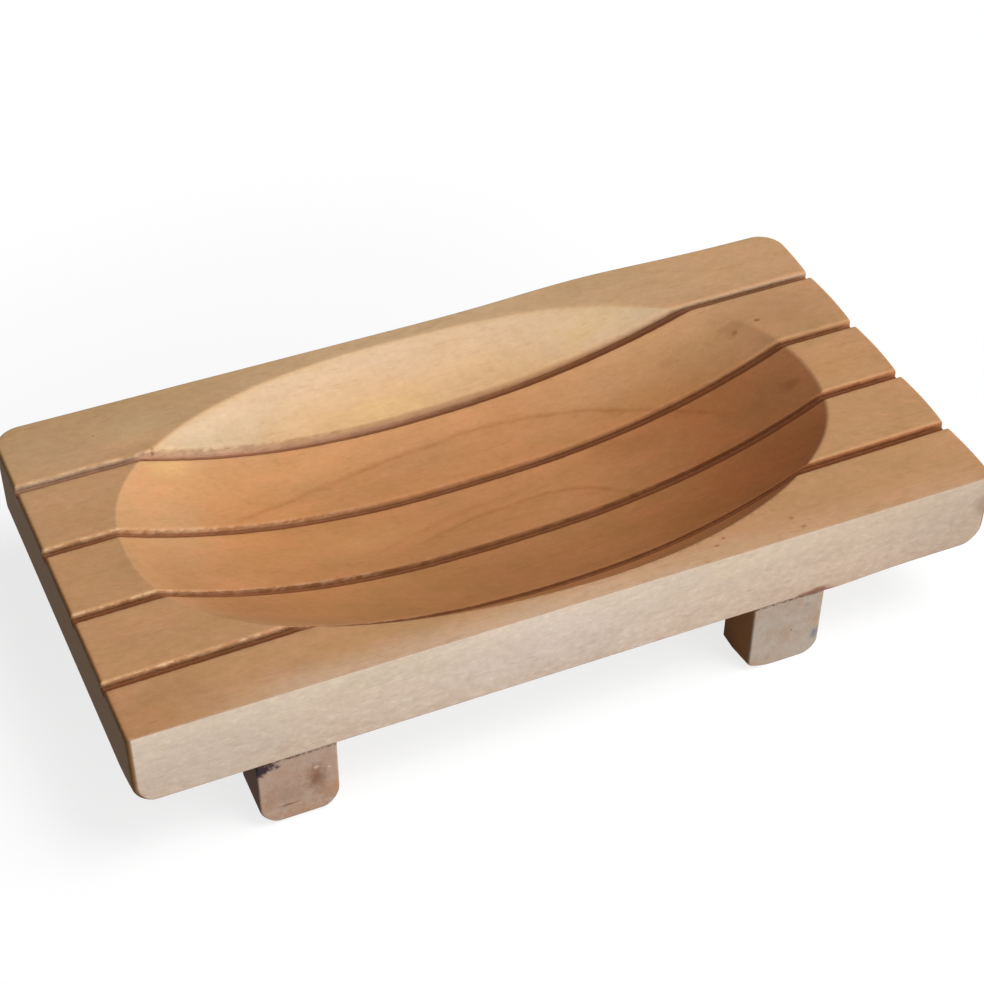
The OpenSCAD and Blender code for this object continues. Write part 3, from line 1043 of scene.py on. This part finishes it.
def footMesh(name, values, end, centreX, centreY):
    halfX, halfY, high = values["width"] / 2, values["length"] / 2, values["height"]
    leftRound, rightRound, endRound = values["rounding"][end]
    unit = roundedLoop(halfX, halfY, values["corner"], values["arcSteps"], values["runSteps"])
    around = len(unit)
    highest = max(leftRound[1], rightRound[1])
    top = values["topEase"]
    levels = [(high, top), (high - top * 0.4, top * 0.3), (high - top, 0.0)]   # height, easing
    levels += [(h, 0.0) for h in np.arange(high - 1.0, highest + 0.3, -values["shaftStep"])]
    levels += [(highest * (1 - math.sin(math.radians(a))), 0.0) for a in range(0, 91, 5)]
    loops = []
    for height, ease in levels:
        taken = [reach * drawnIn(1, height / up) + ease for reach, up in (leftRound, rightRound)]
        takeY = drawnIn(endRound, height) + ease
        low, far = taken[0] - halfX, halfX - taken[1]
        loop = np.column_stack([(low + far) / 2 + unit[:, 0] * (far - low) / (2 * halfX),
                                unit[:, 1] * (halfY - takeY) / halfY])
        loops.append(np.column_stack([loop, np.full(around, height)]))
    angles = np.arctan2(loops[-1][:, 1], loops[-1][:, 0])
    bore, edge = values["boreRadius"], values["boreEdge"]
    for radius, height in ((bore + edge, 0.0), (bore, edge), (bore, values["boreDepth"])):
        loops.append(np.column_stack([np.cos(angles) * radius, np.sin(angles) * radius,
                                      np.full(around, height)]))
    mesh = bmesh.new()
    facing = mesh.verts.layers.float.new("frontFace")
    lift, across, back = values["worn"][end]
    for loop in loops[:-3]:
        near = np.clip(1 - (loop[:, 0] + halfX) / across, 0, 1) ** 2
        near = near * np.clip(1 - (loop[:, 1] + halfY) / back, 0, 1)
        loop[:, 2] += lift * near * np.clip(1 - loop[:, 2] / values["wornHeight"], 0, 1)
        loop[:, 1] = np.maximum(loop[:, 1], values["setBack"] - halfY)
    rings = [[mesh.verts.new(tuple((p + (centreX, centreY, 0)) * mm)) for p in loop] for loop in loops]
    for upper, lower in zip(rings, rings[1:]):
        for k in range(around):
            mesh.faces.new((upper[k], lower[k], lower[(k + 1) % around], upper[(k + 1) % around]))
    mesh.faces.new(rings[0])
    mesh.faces.new(rings[-1][::-1])
    for vert in mesh.verts:
        fromX, fromY = vert.co.x / mm - centreX, abs(vert.co.y / mm - centreY)
        vert[facing] = 1.0 if fromX > -1.0 or fromY > halfY - 0.3 else 0.0   # all but its left side
    bmesh.ops.recalc_face_normals(mesh, faces=mesh.faces)
    data = bpy.data.meshes.new(name)
    mesh.to_mesh(data)
    mesh.free()
    return data


footNoises = {
    "mottle": ((0.32,) * 3, (0, 0, 0), 4, 0.6),
    "rough": ((0.9,) * 3, (0, 0, 0), 4, 0.65),
}

# stains on the front faces: colour, x, z, reach, softness, raggedness, share
footMarks = [
    ("amber", -41.5, 1.2, (6.5, 3, 2.4), 0.9, 1.2, 0.6),
    ("shade", -44, 5.5, (4.5, 3, 3.6), 0.9, 0.6, 0.5),
    ("amber", -37.6, 3.6, (2.6, 2, 2.2), 0.8, 0.6, 0.7),
    ("knot", -39.4, 7.2, (2.3, 2, 4.3), 1, 0.4, 0.75),
    ("knot", -43.6, 3.4, (2.2, 1.5, 0.22), 0.7, 0.5, 0.8),
    ("smudge", -47.2, 12.2, (2.9, 1.5, 1.6), 0.6, 1, 1),
    ("light", -39.3, 9.3, (0.5, 1, 0.4), 0.8, 0.6, 0.6),
    ("light", -37.5, 8.6, (0.3, 1, 0.3), 0.8, 0.6, 0.6),
    ("rust", 38, 12.8, (3, 1.5, 0.5), 0.6, 0.6, 0.5),
    ("blue", 38.8, 4, (1.1, 1.2, 1.5), 0.8, 0.7, 0.8),
    ("blue", 36.8, 10.6, (0.8, 1.2, 0.6), 0.8, 0.7, 0.4),
    ("smudge", 34.6, 6.2, (0.22, 0.6, 0.22), 0.6, 0.4, 0.8),
]


def footWood():
    material, tree, shader = newMaterial("footWood", 0.65, 0.08)
    coat = Coat(tree, footColours, footNoises, turned=True)
    grain, mottle, rough = coat.grain, coat.noises["mottle"], coat.noises["rough"]
    x, _, z = coat.axes
    onRight = x.ramp(-20, 20)
    facing = attribute(tree, "frontFace")
    coat.colour = coat.mix(onRight, "wood", "grey")
    coat.lay(mottle.ramp(-0.3, 0.5) * 0.6, "shade")
    # left sides: painted shade on the left feet, the wood's own colour on the right feet
    coat.lay(1 - facing, coat.mix(onRight, "shadedLeftSide", "side"))
    coat.tint(grain["Pores"] * 0.4, "pore")
    for name, placeX, placeZ, reach, softness, ragged, share in footMarks:
        stain = coat.spot((placeX, trayValues["front"], placeZ), reach, softness, rough * ragged)
        coat.lay(stain * share, name)
    seam = (grain["Grit"] * 0.9 + grain["Fibres"] * 0.5).ramp(-0.25, 0.2) * facing
    coat.lay(z.ramp(12.4, 12.8) * seam * 0.8, "seam")
    tone = grain["Grit"] * 0.1 + mottle * 0.1 + rough * 0.14 + 1
    coat.tint(1, join(tree, tone * (mottle * 0.1 + 1), tone, tone * (1 - mottle * 0.12)))
    height = grain["Grit"] * 0.7 - grain["Pores"]
    finishWith(tree, shader, coat.colour, height, 0.04 * mm, 0.6)
    return material


def makeFeet():
    material = footWood()
    for row, side in (("front", -1), ("back", 1)):
        for end in ("left", "right"):
            node = f"{row}_{end}_foot"
            name = row + end.capitalize() + "Foot"
            mesh = footMesh(name, footValues, end, footValues["x"][end], side * footValues["y"])
            mesh.materials.append(material)
            foot = addObject(name, smoothed(mesh, 40))
            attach(foot, root)
            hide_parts(node)
    print("feet made")


makeFeet()


# Foot nails keep their solids and get a finish

def nailSteel():
    material, tree, shader = newMaterial("nailSteel", 0.35, 0.5)
    place = inMillimetres(tree, objectPlace(tree))
    grime = noise(tree, place, (1.4,) * 3, detail=3, roughness=0.6).ramp(-0.2, 0.7)
    colour = mixColour(tree, grime, linear(178, 176, 170), linear(120, 104, 88))
    plugAll(tree, shader, Metallic=1 - grime * 0.4, Roughness=grime * 0.3 + 0.3)
    finishWith(tree, shader, colour, noise(tree, place, (6,) * 3), 0.03 * mm, 0.4)
    return material


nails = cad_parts["foot_nails"]
nails.data.materials.clear()
nails.data.materials.append(nailSteel())
print("nails finished")
